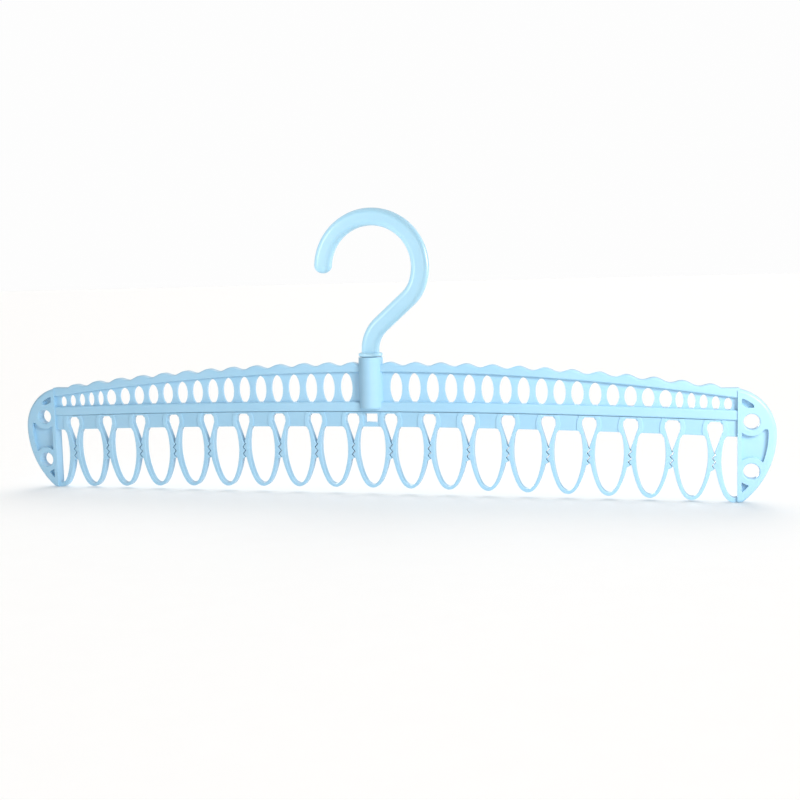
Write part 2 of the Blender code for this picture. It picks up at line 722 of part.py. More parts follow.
def finish_looks():
    """Give every solid its own material and smooth shading across its curves."""
    for solid in bpy.context.scene.objects:
        solid.data.name = solid.name
        solid.data.materials.clear()
        solid.data.materials.append(plastic(solid.name + "_plastic"))
        solid.data.shade_smooth()
        solid.data.set_sharp_from_angle(angle=math.radians(SHARP_EDGE_DEGREES))


def main():
    for old in list(bpy.data.objects):
        bpy.data.objects.remove(old)
    place_clips()
    place_half_clips()
    make_bar()
    make_hook()
    finish_looks()


main()
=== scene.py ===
import json
import math

import bpy
from mathutils import Matrix, Vector


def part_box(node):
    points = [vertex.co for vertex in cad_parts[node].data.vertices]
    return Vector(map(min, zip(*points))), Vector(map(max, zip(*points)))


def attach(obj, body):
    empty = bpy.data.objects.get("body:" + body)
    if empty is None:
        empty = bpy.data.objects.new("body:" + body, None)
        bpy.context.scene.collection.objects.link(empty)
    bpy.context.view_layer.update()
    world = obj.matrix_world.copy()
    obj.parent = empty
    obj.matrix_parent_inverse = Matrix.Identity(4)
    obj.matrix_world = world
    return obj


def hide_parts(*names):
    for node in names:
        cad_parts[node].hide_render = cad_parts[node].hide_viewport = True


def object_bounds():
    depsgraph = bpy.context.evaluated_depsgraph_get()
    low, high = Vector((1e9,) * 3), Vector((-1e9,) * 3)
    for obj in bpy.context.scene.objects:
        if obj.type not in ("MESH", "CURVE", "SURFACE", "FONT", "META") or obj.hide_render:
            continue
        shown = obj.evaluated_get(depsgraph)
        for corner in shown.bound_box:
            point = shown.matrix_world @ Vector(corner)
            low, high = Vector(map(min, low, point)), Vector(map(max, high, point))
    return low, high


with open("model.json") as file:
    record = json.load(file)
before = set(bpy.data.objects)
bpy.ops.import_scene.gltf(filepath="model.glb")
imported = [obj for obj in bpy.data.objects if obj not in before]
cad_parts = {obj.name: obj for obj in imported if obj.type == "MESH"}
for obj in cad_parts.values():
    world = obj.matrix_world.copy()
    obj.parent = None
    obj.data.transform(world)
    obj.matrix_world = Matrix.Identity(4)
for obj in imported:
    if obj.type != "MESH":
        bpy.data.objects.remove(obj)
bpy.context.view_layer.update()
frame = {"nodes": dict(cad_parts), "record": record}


def pickOnly(piece):
    bpy.ops.object.select_all(action="DESELECT")
    piece.select_set(True)
    bpy.context.view_layer.objects.active = piece


def applied(piece, kind, **settings):  # add a modifier, set it up and apply it
    pickOnly(piece)
    step = piece.modifiers.new(kind.lower(), kind)
    for setting, value in settings.items():
        setattr(step, setting, value)
    bpy.ops.object.modifier_apply(modifier=step.name)
    return piece


def joinedWith(piece, others, operation="UNION"):
    for other in others:
        applied(piece, "BOOLEAN", operation=operation, solver="EXACT", object=other)
        bpy.data.objects.remove(other)
    return piece


def roundedEdges(piece, width, segments=3, angle=32):
    return applied(piece, "BEVEL", width=width, segments=segments, limit_method="ANGLE",
                   angle_limit=math.radians(angle), miter_outer="MITER_ARC", use_clamp_overlap=True)


def smoothed(piece, angle=38):
    pickOnly(piece)
    bpy.ops.object.shade_smooth_by_angle(angle=math.radians(angle))
    return applied(piece, "WEIGHTED_NORMAL", keep_sharp=True, weight=60)


def slab(name, outline, depth, middle=0.0):  # outline of (x, z) corners pushed through the thickness
    bpy.ops.object.select_all(action="DESELECT")
    bpy.ops.mesh.primitive_circle_add(vertices=len(outline), radius=0.01, fill_type="NGON")
    piece = bpy.context.object
    piece.name = piece.data.name = name
    for corner, (x, z) in zip(piece.data.vertices, outline):
        corner.co = (x, middle - depth / 2, z)
    bpy.ops.object.mode_set(mode="EDIT")
    bpy.ops.mesh.select_all(action="SELECT")
    bpy.ops.mesh.extrude_region_move(TRANSFORM_OT_translate={"value": (0, depth, 0)})
    bpy.ops.mesh.select_all(action="SELECT")
    bpy.ops.mesh.normals_make_consistent(inside=False)
    bpy.ops.object.mode_set(mode="OBJECT")
    return piece


def turned(name, profile, sides, axis=(0, 0, 1), centre=(0, 0, 0)):
    # a lathe: (radius, along) pairs from the axis back to the axis
    bpy.ops.object.select_all(action="DESELECT")
    bpy.ops.mesh.primitive_circle_add(vertices=len(profile), radius=0.01, fill_type="NOTHING")
    piece = bpy.context.object
    piece.name = piece.data.name = name
    for corner, (radius, along) in zip(piece.data.vertices, profile):
        corner.co = Vector(centre) + Vector((radius, 0, 0)) + Vector(axis) * along
    for vertex in piece.data.vertices:  # the edge that closes the profile lies on the axis and goes
        vertex.select = vertex.index in (0, len(profile) - 1)
    for edge in piece.data.edges:
        edge.select = set(edge.vertices) == {0, len(profile) - 1}
    bpy.ops.object.mode_set(mode="EDIT")
    bpy.ops.mesh.delete(type="EDGE")
    bpy.ops.mesh.select_all(action="SELECT")
    bpy.ops.mesh.spin(steps=sides, angle=2 * math.pi, center=centre, axis=axis, dupli=False)
    bpy.ops.mesh.select_all(action="SELECT")
    bpy.ops.mesh.remove_doubles(threshold=1e-6)
    bpy.ops.mesh.normals_make_consistent(inside=False)
    bpy.ops.object.mode_set(mode="OBJECT")
    return piece


def arc(centre, radius, start, end, steps):
    turns = [math.radians(start + (end - start) * step / steps) for step in range(steps + 1)]
    return [(centre[0] + radius * math.cos(turn), centre[1] + radius * math.sin(turn))
            for turn in turns]


def mirrored(points):
    return [(-x, z) for x, z in reversed(points)]


heights = {"socket": 0.0304, "underSocket": 0.00115, "rail": 0.00565, "railToBand": 0.02285, "band": 0.0058,
           "skirt": 0.0015, "clip": 0.04295}
levels = {"socketTop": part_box("hanger_bar")[1].z}  # all hung from the top of the socket
levels["socketLow"] = levels["socketTop"] - heights["socket"]
levels["railLow"] = levels["socketLow"] - heights["underSocket"]
levels["railTop"] = levels["railLow"] + heights["rail"]
levels["bandLow"] = levels["railLow"] + heights["railToBand"]
levels["crest"] = levels["bandLow"] + heights["band"]
levels["clipRoot"] = levels["railLow"] - heights["skirt"]
levels["clipLow"] = levels["clipRoot"] - heights["clip"]

arches = {"rail": 5.5, "band": 1.42}  # radii of the two arches
clips = {"count": 17, "pitch": 0.0227, "fanRadius": 0.92, "endInset": 0.00055}
endRib = {"x": (clips["count"] + 1) / 2 * clips["pitch"] - clips["endInset"], "width": 0.0022}


def railDrop(x):
    return arches["rail"] - math.sqrt(arches["rail"] ** 2 - x * x)


def bandDrop(x):
    return arches["band"] - math.sqrt(arches["band"] ** 2 - x * x)


def fanX(place):
    return clips["fanRadius"] * math.sin(place * clips["pitch"] / clips["fanRadius"])


def gapX(place):  # middle of the gap to the right of a finger
    return (fanX(place) + fanX(place + 1)) / 2


finger = {
    "depth": 0.0046, "plateDepth": 0.0038, "sideGap": 0.0006, "widest": 0.0230, "strip": 0.0029,
    "stripLow": 0.0019, "topBar": 0.0073, "upperReach": 0.0205, "corner": 0.0016, "outerPinch": 0.07,
    "innerPinch": 0.05, "leanHeight": 0.0225, "gripTop": 0.0264, "tooth": 0.00202, "toothReach": 0.00085,
    "teeth": 5, "standoff": 0.0005, "dropHalf": 0.0042, "dropWidest": 0.0043, "dropRound": 0.0010,
    "rootRib": 0.0026, "rootSlope": 0.108, "rootFlat": 0.0001, "seam": 0.00003, "skirt": 0.0003,
    "shoulderRound": 0.0013, "edge": 0.0006, "plateEdge": 0.00018, "curveSteps": 26,
    "windowWidth": 0.0073, "windowLow": 0.0046, "windowDepth": 0.01,
}


def pinched(turn, pinch):  # a quarter of an oval with its flank drawn in, 1 at its side and 0 at its end
    return math.cos(turn) * (1 - pinch * math.sin(2 * turn) ** 2)


def openingHalf(edge, extra):  # half of the loop's opening, top down
    across = edge - finger["strip"] - extra
    floor = -heights["clip"]
    rise = (heights["clip"] - finger["topBar"] - finger["widest"]) / finger["upperReach"]
    topHalf = across * math.sqrt(1 - rise * rise)
    corner = finger["corner"]
    points = arc((topHalf - corner, -finger["topBar"] - corner), corner, 90, 10, 8)
    start = math.asin((points[-1][1] - floor - finger["widest"]) / finger["upperReach"])
    steps = finger["curveSteps"] // 2
    for step in range(1, steps):
        turn = start * (1 - step / steps)
        points.append((across * math.cos(turn),
                       floor + finger["widest"] + finger["upperReach"] * math.sin(turn)))
    down = finger["widest"] - finger["stripLow"] - extra
    for step in range(finger["curveSteps"] + 1):
        turn = math.pi / 2 * step / finger["curveSteps"]
        points.append((across * pinched(turn, finger["innerPinch"]),
                       floor + finger["widest"] - down * math.sin(turn)))
    return points


def dropSide(edge):  # the side along the drop-shaped gap, from the rail down to its widest part
    far = edge + finger["sideGap"] / 2 - finger["dropHalf"]
    points = [(far + finger["dropRound"], -levels["clipRoot"] + levels["railLow"] - finger["seam"])]
    for degrees in (90, 75, 60, 45, 30, 15, 0):
        turn = math.radians(degrees)
        points.append((far + finger["dropRound"] * (1 - math.cos(turn)),
                       finger["dropWidest"] * (math.sin(turn) - 1)))
    return points


def outerSide(edge, side):  # the outside of the loop: the drop-shaped gap, the teeth and the round end
    floor = -heights["clip"]
    points = dropSide(edge) + [(edge, floor + finger["gripTop"])]
    for tooth in range(finger["teeth"]):
        reach = finger["toothReach"] * (1 if tooth % 2 == 0 else -1) * side
        points.append((edge + reach, floor + finger["gripTop"] - finger["tooth"] * (tooth + 0.5)))
    gripLow = finger["gripTop"] - finger["tooth"] * finger["teeth"]
    start = math.asin((finger["widest"] - gripLow) / finger["widest"])
    for step in range(finger["curveSteps"] + 1):
        turn = start + (math.pi / 2 - start) * step / finger["curveSteps"]
        points.append(((edge - finger["standoff"]) * pinched(turn, finger["outerPinch"]),
                       floor + finger["widest"] * (1 - math.sin(turn))))
    return [(side * x, z) for x, z in points]


def plateHalf(edge, extra):  # half of the thin plate, from the seam under the rail down to the opening
    top = dropSide(edge)[0]
    seam = edge + finger["sideGap"] / 2 - finger["seam"]
    bend = finger["shoulderRound"]
    points = [(seam, top[1]), (seam, finger["skirt"])]
    points += arc((top[0] + bend, finger["skirt"] - bend), bend, 90, 180, 6)
    inside = finger["rootRib"] / 3
    points += [(x - finger["rootRib"] + inside, z) for x, z in dropSide(edge)[3:]]
    lowest = openingHalf(edge, extra)[0]
    return points + [(lowest[0] + inside, lowest[1])]


def fingerPiece(name, place, extra=0.0):
    x = fanX(place)
    left = x - gapX(place - 1) - finger["sideGap"] / 2
    right = gapX(place) - x - finger["sideGap"] / 2
    ribs = [[(a - finger["rootRib"], z) for a, z in dropSide(edge)] for edge in (left, right)]
    leftInner = mirrored(ribs[0] + openingHalf(left, extra))
    rightInner = ribs[1] + openingHalf(right, extra)
    loop = outerSide(right, 1) + outerSide(left, -1)[::-1][1:] + leftInner[::-1][:-1] + rightInner[::-1]
    piece = roundedEdges(slab(name, loop, finger["depth"]), finger["edge"])
    plate = slab("plate", plateHalf(right, extra) + mirrored(plateHalf(left, extra)), finger["plateDepth"])
    if place == 0:  # the window under the socket
        half, low, high = finger["windowWidth"] / 2, -finger["windowLow"], finger["skirt"]
        window = [(-half, low), (half, low), (half, high), (-half, high)]
        joinedWith(plate, [slab("window", window, finger["windowDepth"])], "DIFFERENCE")
    joinedWith(piece, [roundedEdges(plate, finger["plateEdge"], 2)])
    if extra == 0:  # the top falls away to the front and the back, so that the finger has room to flex
        top = dropSide(right)[0][1]
        low, high = -left - finger["sideGap"], right + finger["sideGap"]
        for side in (-1, 1):
            roof = slab("roof", [(low, top), (high, top), (high, 2 * top), (low, 2 * top)],
                        finger["depth"], side * finger["depth"] / 2)
            for corner in roof.data.vertices:
                if corner.co.z < top + finger["rootFlat"]:
                    corner.co.z -= abs(corner.co.y) * finger["rootSlope"]
            joinedWith(piece, [roof], "DIFFERENCE")
    for corner in piece.data.vertices:  # square to the arched rail, so it leans towards the middle
        lean = (corner.co.z + heights["clip"] - finger["leanHeight"]) / arches["rail"]
        corner.co.z += levels["clipRoot"] - railDrop(x + corner.co.x)
        corner.co.x = (x + corner.co.x) * (1 + lean)
    return piece


bodyOf = {node: body for body, nodes in frame["record"]["behaviour"]["bodies"].items() for node in nodes}
fingers = []
for index in range(clips["count"]):
    node = f"clip_{index + 1:02d}"
    piece = smoothed(fingerPiece(f"finger_{index + 1:02d}", index - clips["count"] // 2))
    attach(piece, bodyOf[node])
    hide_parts(node)
    fingers.append(piece)
print("fingers made:", len(fingers))

bar = {
    "railDepth": 0.0060, "railEdge": 0.0009, "bandDepth": 0.0060, "bandEdge": 0.0009,
    "web": 0.0016, "webEdge": 0.00025, "webIntoRail": 0.002, "webIntoBand": 0.003, "stations": 120,
    "scallopFirst": 0.0114, "scallopStep": 0.0149, "scallopDeep": 0.0020, "scallopPoints": 18,
    "scallopEnd": 0.0100, "scallopPast": 1 / 3,
}
holes = {
    "first": 0.0149, "step": 0.01085, "stepLoss": 0.00011, "width": 0.0073, "widthLoss": 0.00004,
    "topMargin": 0.0006, "sink": 0.0004, "small": 5, "smallStep": 0.00635, "smallWidth": 0.0042,
    "smallEnd": 0.0018, "sides": 40,
}
barEnd = endRib["x"] + endRib["width"] / 2
along = [-barEnd + 2 * barEnd * step / bar["stations"] for step in range(bar["stations"] + 1)]


def railPiece():
    low = [(x, levels["railLow"] - railDrop(x)) for x in along]
    top = [(x, levels["railTop"] - railDrop(x)) for x in reversed(along)]
    return slab("rail", low + top, bar["railDepth"])


def scallopZ(x):
    phase = 2 * math.pi * (x - bar["scallopFirst"]) / bar["scallopStep"]
    return levels["crest"] - bandDrop(x) - bar["scallopDeep"] * (1 - math.cos(phase)) / 2


def bandPiece():
    step = bar["scallopStep"] / bar["scallopPoints"]
    crests = int((endRib["x"] - bar["scallopEnd"] - bar["scallopFirst"]) / bar["scallopStep"])
    end = bar["scallopFirst"] + (crests + bar["scallopPast"]) * bar["scallopStep"]
    first = bar["scallopFirst"] - bar["scallopStep"] / 2
    top = [(first + step * i, scallopZ(first + step * i)) for i in range(int((end - first) / step + 1.5))]
    top.append((barEnd, levels["crest"] - plates["shoulderDrop"]))
    low = [(x, levels["bandLow"] - bandDrop(x)) for x in along]
    return slab("band", low + list(reversed(mirrored(top) + top)), bar["bandDepth"])


def holeStations():  # (place, width) of each oval to the right of the socket
    smallStart = endRib["x"] - holes["smallEnd"] - (holes["small"] - 0.5) * holes["smallStep"]
    found, x, step, width = [], holes["first"], holes["step"], holes["width"]
    while x + (width + holes["smallWidth"]) / 2 < smallStart:
        found.append((x, width))
        x, step, width = x + step, step - holes["stepLoss"], width - holes["widthLoss"]
    return found + [(smallStart + i * holes["smallStep"], holes["smallWidth"])
                    for i in range(holes["small"])]


def webPiece():
    low = [(x, levels["railLow"] + bar["webIntoRail"] - railDrop(x)) for x in along]
    top = [(x, levels["bandLow"] + bar["webIntoBand"] - bandDrop(x)) for x in reversed(along)]
    web = slab("web", low + top, bar["web"])
    turns = [2 * math.pi * i / holes["sides"] for i in range(holes["sides"])]
    cutters = []
    for x, width in holeStations():
        for side in (-1, 1):
            floor = levels["railTop"] - railDrop(x) - holes["sink"]
            roof = levels["bandLow"] - bandDrop(x) - holes["topMargin"]
            middle, reach = (floor + roof) / 2, (roof - floor) / 2
            oval = [(side * x + width / 2 * math.cos(turn), middle + reach * math.sin(turn))
                    for turn in turns]
            cutters.append(slab("oval", oval, 3 * bar["web"]))
    bpy.ops.object.select_all(action="DESELECT")
    for cutter in cutters:
        cutter.select_set(True)
    bpy.context.view_layer.objects.active = cutters[0]
    bpy.ops.object.join()
    return joinedWith(web, [cutters[0]], "DIFFERENCE")


plates = {
    "depth": 0.0072, "rim": 0.0043, "rimRound": 0.0018, "rimSegments": 6, "rimStart": 0.0004, "edge": 0.00045,
    "shoulderRadius": 0.0248, "shoulderInset": 0.0047, "shoulderDrop": 0.0148, "shoulderSteps": 36,
    "flankRadius": 0.0480, "flankSteps": 30, "tipRadius": 0.0036, "tipSteps": 10,
    "floor": 0.0026, "smallFloor": 0.0010, "smallHeight": 0.012,  # pockets less high than this go deeper
    "pocketCorner": 0.0009, "spacing": 0.0003, "softRounds": 6,
    "bossRadius": 0.0076, "bossInset": 0.0072, "upperDrop": 0.0329, "lowerDrop": 0.0596,
    "hole": 0.00425, "lip": 0.0006, "bossSides": 96, "holeSides": 64,
    "bridgeAcross": 0.0012, "bridgeDown": 0.0038,
    "wedgeAcross": 0.0052, "wedgeRise": 0.0020, "wedgeUnder": 0.001, "wedgeFoot": 0.004, "wedgeInto": 0.001,
}
shoulder = (endRib["x"] - plates["shoulderInset"],
            levels["crest"] - plates["shoulderDrop"] - plates["shoulderRadius"])
flank = (shoulder[0] + plates["shoulderRadius"] - plates["flankRadius"], shoulder[1])
tipZ = levels["clipLow"] - railDrop(endRib["x"]) + plates["tipRadius"]
tipReach = math.sqrt((plates["flankRadius"] - plates["tipRadius"]) ** 2 - (flank[1] - tipZ) ** 2)
tip = (flank[0] + tipReach, tipZ)
tipTurn = math.degrees(math.atan2(tip[1] - flank[1], tip[0] - flank[0]))


def plateOutline(inset, left):
    tipRadius = max(plates["tipRadius"] - inset, plates["pocketCorner"])
    points = arc(shoulder, plates["shoulderRadius"] - inset, 90, 0, plates["shoulderSteps"])
    points += arc(flank, plates["flankRadius"] - inset, 0, tipTurn, plates["flankSteps"])[1:]
    points += arc(tip, tipRadius, tipTurn, -90, plates["tipSteps"])[1:]
    points = [point for point in points if point[0] > left]
    return [(left, points[0][1])] + points + [(left, points[-1][1])]


def bossCentres():
    return [(endRib["x"] + plates["bossInset"], 0, levels["crest"] - plates[drop])
            for drop in ("upperDrop", "lowerDrop")]


def softened(outline):  # corners rounded off: points set evenly, then each drawn towards its neighbours
    points = []
    for (x, z), (nextX, nextZ) in zip(outline, outline[1:] + outline[:1]):
        parts = max(1, round(math.hypot(nextX - x, nextZ - z) / plates["spacing"]))
        points += [(x + (nextX - x) * part / parts, z + (nextZ - z) * part / parts)
                   for part in range(parts)]
    for turn in range(plates["softRounds"]):
        points = [((a[0] + 2 * b[0] + c[0]) / 4, (a[1] + 2 * b[1] + c[1]) / 4)
                  for a, b, c in zip(points[-1:] + points[:-1], points, points[1:] + points[:1])]
    return points


def pocketOutlines():  # what is left of the sunken floor between the rim, the rib and the two bosses
    left, deep = endRib["x"] + endRib["width"], plates["depth"]
    whole = slab("pocket", plateOutline(plates["rim"], left), deep)
    profile = [(0, -deep), (plates["bossRadius"], -deep), (plates["bossRadius"], deep), (0, deep)]
    keep = [turned("boss", profile, plates["bossSides"], (0, -1, 0), centre) for centre in bossCentres()]
    near, low = bossCentres()[0][0] + plates["bridgeAcross"], bossCentres()[0][2] - plates["bridgeDown"]
    far, high = near + plates["shoulderRadius"], levels["crest"]
    keep.append(slab("bridge", [(near, low), (far, low), (far, high), (near, high)], 2 * deep))
    top = bossCentres()[0][2] + plates["bossRadius"]
    inner, outer, foot = left - plates["wedgeInto"], left + plates["wedgeAcross"], top - plates["wedgeFoot"]
    wedge = [(inner, foot), (outer, foot), (outer, top - plates["wedgeUnder"]),
             (inner, top + plates["wedgeRise"])]
    keep.append(slab("wedge", wedge, 2 * deep))
    joinedWith(whole, keep, "DIFFERENCE")
    fronts = [face for face in whole.data.polygons if face.normal.y < -0.9]
    found = [[tuple(whole.data.vertices[index].co.xz) for index in face.vertices] for face in fronts]
    bpy.data.objects.remove(whole)
    return found


def rimRounded(plate):  # the outer edges of the two faces; the side against the bar stays square
    pickOnly(plate)
    bpy.context.tool_settings.mesh_select_mode = (False, True, False)
    bpy.ops.object.mode_set(mode="EDIT")
    bpy.ops.mesh.select_all(action="DESELECT")
    bpy.ops.object.mode_set(mode="OBJECT")
    start = endRib["x"] + plates["rimStart"]
    for edge in plate.data.edges:
        ends = [plate.data.vertices[index].co for index in edge.vertices]
        edge.select = (ends[0].y > 0) == (ends[1].y > 0) and max(end.x for end in ends) > start
    bpy.ops.object.mode_set(mode="EDIT")
    bpy.ops.mesh.bevel(offset=plates["rimRound"], segments=plates["rimSegments"], affect="EDGES",
                       clamp_overlap=False)
    bpy.ops.object.mode_set(mode="OBJECT")
    bpy.context.tool_settings.mesh_select_mode = (True, False, False)
    return plate


def platePiece():
    plate = rimRounded(slab("plate", plateOutline(0.0, endRib["x"]), plates["depth"]))
    for outline in pocketOutlines():
        rises = [z for x, z in outline]
        small = max(rises) - min(rises) < plates["smallHeight"]
        offset = (plates["smallFloor" if small else "floor"] + plates["depth"]) / 2
        for side in (-1, 1):
            pocket = slab("pocket", softened(outline), plates["depth"], side * offset)
            joinedWith(plate, [pocket], "DIFFERENCE")
    roundedEdges(plate, plates["edge"])
    half, lip = plates["depth"] / 2, plates["lip"]
    for centre in bossCentres():
        mouth = arc((plates["hole"] + lip, half - lip), lip, 180, 90, 4)
        profile = [(0, -2 * half), (plates["hole"] + lip, -2 * half)]
        profile += [(r, -a) for r, a in reversed(mouth)] + mouth
        profile += [(plates["hole"] + lip, 2 * half), (0, 2 * half)]
        joinedWith(plate, [turned("hole", profile, plates["holeSides"], (0, -1, 0), centre)], "DIFFERENCE")
    return plate


def mirrorPiece(source, name):
    copy = source.copy()
    copy.data = source.data.copy()
    copy.name = copy.data.name = name
    bpy.context.scene.collection.objects.link(copy)
    pickOnly(copy)
    bpy.ops.object.mode_set(mode="EDIT")
    bpy.ops.mesh.select_all(action="SELECT")
    bpy.ops.transform.mirror(constraint_axis=(True, False, False), orient_type="GLOBAL",
                             center_override=(0, 0, 0))
    bpy.ops.mesh.normals_make_consistent(inside=False)
    bpy.ops.object.mode_set(mode="OBJECT")
    return copy


socket = {
    "radius": 0.0071, "bottomRound": 0.0022, "topEdge": 0.0005, "bore": 0.0036, "shoulder": 0.0203,
    "chamber": 0.0051, "chamberHeight": 0.0075, "drain": 0.0022, "pastLow": 0.02, "pastTop": 0.03,
    "sides": 96, "boreSides": 64,
}


def socketPiece():
    top, low = levels["socketTop"], levels["socketLow"]
    r, e, b = socket["radius"], socket["topEdge"], socket["bottomRound"]
    profile = [(0, low)] + arc((r - b, low + b), b, -90, 0, 8)
    profile += arc((r - e, top - e), e, 0, 90, 4) + [(0, top)]
    return turned("socket", profile, socket["sides"])


def borePiece():  # the spindle's bore, the chamber of the split head and the drain hole, all cut out
    seat = levels["socketTop"] - socket["shoulder"]
    low = seat - socket["chamberHeight"]
    under, over = low - socket["pastLow"], seat + socket["pastTop"]
    profile = [(0, under), (socket["drain"], under), (socket["drain"], low), (socket["chamber"], low),
               (socket["chamber"], seat), (socket["bore"], seat), (socket["bore"], over), (0, over)]
    return turned("bore", profile, socket["boreSides"])


halfClip = {"extra": 0.0007, "inRib": 0.0008, "cutReach": 0.03, "cutDrop": 0.2, "cutDepth": 0.02}


def halfFinger(side):  # a finger with stouter strips, cut off inside the end rib
    piece = fingerPiece("half", side * (clips["count"] + 1) / 2, halfClip["extra"])
    face, far = side * (endRib["x"] + halfClip["inRib"]), side * (endRib["x"] + halfClip["cutReach"])
    low = -halfClip["cutDrop"]
    cut = slab("cut", [(face, low), (far, low), (far, 0), (face, 0)], halfClip["cutDepth"])
    return joinedWith(piece, [cut], "DIFFERENCE")


barMoulding = roundedEdges(webPiece(), bar["webEdge"], 2)
barMoulding.name = "barMoulding"
rail = roundedEdges(railPiece(), bar["railEdge"])
rightPlate = platePiece()
leftPlate = mirrorPiece(rightPlate, "leftPlate")
band = roundedEdges(bandPiece(), bar["bandEdge"])
joinedWith(barMoulding, [rail, band, rightPlate, leftPlate, socketPiece()])
joinedWith(barMoulding, [halfFinger(-1), halfFinger(1)])
joinedWith(barMoulding, [borePiece()], "DIFFERENCE")
smoothed(barMoulding)
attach(barMoulding, "bar")
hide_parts("hanger_bar", "half_clip_left", "half_clip_right")
print("bar made:", len(barMoulding.data.polygons), "faces")

hook = {
    "saddle": 0.0238, "shift": 0.0016, "width": 0.01006, "depth": 0.0078, "corner": 0.0033,
    "tipLength": 0.0044, "tipAngle": 176.6, "tipStart": 0.94, "sideAngle": -20.0,
    "neckAngle": -48.5, "neckRadius": 0.0200, "footRadius": 0.0200, "shank": 0.0012,
    "degreesPerStep": 1.25, "tipRings": 14, "cornerSteps": 12,
}
swivel = {
    "collarRadius": 0.0069, "collarHeight": 0.0020, "collarEdge": 0.0009, "gap": 0.0004, "spindle": 0.0035,
    "head": 0.0046, "headBand": 0.0014, "headLength": 0.0058, "headTip": 0.0030, "seatGap": 0.0003,
    "slotWidth": 0.0018, "slotLength": 0.0150, "slotPast": 0.005, "slotDepth": 0.02, "sides": 96,
}


def spun(centre, degrees):  # carry the selected section round an arc in the plane of the hook
    steps = max(1, round(abs(degrees) / hook["degreesPerStep"]))
    bpy.ops.mesh.spin(steps=steps, angle=-math.radians(degrees), center=(centre[0], 0, centre[1]),
                      axis=(0, 1, 0))


def pushed(move):
    bpy.ops.mesh.extrude_region_move(TRANSFORM_OT_translate={"value": move})


def hookArm():
    reach = hook["saddle"] + hook["width"] / 2
    arcZ = -math.sqrt(hook["saddle"] ** 2 - hook["shift"] ** 2)
    start, end = math.radians(hook["sideAngle"]), math.radians(hook["neckAngle"])
    side = Vector((hook["shift"] + reach * math.cos(start), 0, arcZ + reach * math.sin(start)))
    neck = side - hook["neckRadius"] * Vector((math.cos(start), 0, math.sin(start)))
    straightStart = neck + hook["neckRadius"] * Vector((math.cos(end), 0, math.sin(end)))
    endX = hook["footRadius"] * (1 - math.cos(end))
    run = (straightStart.x - endX) / -math.sin(end)
    footZ = straightStart.z - run * math.cos(end) + hook["footRadius"] * math.sin(end)
    tipTurn = math.radians(hook["tipAngle"])
    middle = Vector((hook["shift"] + reach * math.cos(tipTurn), 0, arcZ + reach * math.sin(tipTurn)))
    across = Vector((-math.cos(tipTurn), 0, -math.sin(tipTurn)))
    out = Vector((-math.sin(tipTurn), 0, math.cos(tipTurn)))
    corner = hook["corner"]
    ring = []  # the section, with its corners rounded
    for quarter, (signX, signY) in enumerate(((1, 1), (-1, 1), (-1, -1), (1, -1))):
        for step in range(hook["cornerSteps"] + 1):
            turn = math.radians(90 * (quarter + step / hook["cornerSteps"]))
            ring.append(across * (signX * (hook["width"] / 2 - corner) + corner * math.cos(turn))
                        + Vector((0, signY * (hook["depth"] / 2 - corner) + corner * math.sin(turn), 0)))
    bpy.ops.object.select_all(action="DESELECT")
    bpy.ops.mesh.primitive_circle_add(vertices=len(ring), radius=0.01, fill_type="NGON")
    arm = bpy.context.object
    arm.name = arm.data.name = "hookMoulding"
    rings = hook["tipRings"]
    first = math.pi / 2 * hook["tipStart"]
    for vertex, offset in zip(arm.data.vertices, ring):  # the smallest ring, at the very tip
        vertex.co = middle + offset * math.cos(first) + out * hook["tipLength"] * math.sin(first)
    bpy.ops.object.mode_set(mode="EDIT")
    bpy.ops.mesh.select_all(action="SELECT")
    for step in range(1, rings + 1):  # rings of the round tip
        before, now = first * (1 - (step - 1) / rings), first * (1 - step / rings)
        pushed(out * hook["tipLength"] * (math.sin(now) - math.sin(before)))
        share = math.cos(now) / math.cos(before)
        bpy.ops.transform.resize(value=(share, share, share),
                                 center_override=middle + out * hook["tipLength"] * math.sin(now))
    spun((hook["shift"], arcZ), hook["tipAngle"] - hook["sideAngle"])
    spun((neck.x, neck.z), hook["sideAngle"] - hook["neckAngle"])
    pushed(Vector((endX, 0, straightStart.z - run * math.cos(end))) - straightStart)
    spun((hook["footRadius"], footZ), hook["neckAngle"])
    pushed(Vector((0, 0, -hook["shank"] - swivel["collarHeight"] / 2)))
    bpy.ops.mesh.select_all(action="DESELECT")
    bpy.ops.mesh.select_interior_faces()
    bpy.ops.mesh.delete(type="ONLY_FACE")
    bpy.ops.mesh.select_all(action="SELECT")
    bpy.ops.mesh.normals_make_consistent(inside=False)
    bpy.ops.object.mode_set(mode="OBJECT")
    return arm


def swivelPiece():
    low = levels["socketTop"] + swivel["gap"]
    top = low + swivel["collarHeight"]
    headTop = levels["socketTop"] - socket["shoulder"] - swivel["seatGap"]
    headLow = headTop - swivel["headLength"]
    r, e = swivel["collarRadius"], swivel["collarEdge"]
    profile = [(0, headLow), (swivel["headTip"], headLow), (swivel["head"], headTop - swivel["headBand"]),
               (swivel["head"], headTop), (swivel["spindle"], headTop), (swivel["spindle"], low)]
    profile += [(r - e / 3, low), (r, low + e / 3)] + arc((r - e, top - e), e, 0, 90, 6) + [(0, top)]
    piece = turned("swivel", profile, swivel["sides"])
    half, floor, roof = swivel["slotWidth"] / 2, headLow - swivel["slotPast"], headLow + swivel["slotLength"]
    outline = [(-half, floor), (half, floor), (half, roof), (-half, roof)]
    return joinedWith(piece, [slab("slot", outline, swivel["slotDepth"])], "DIFFERENCE")


hookMoulding = smoothed(joinedWith(hookArm(), [swivelPiece()]))
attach(hookMoulding, "hook")
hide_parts("swivel_hook")
print("hook made:", len(hookMoulding.data.polygons), "faces")


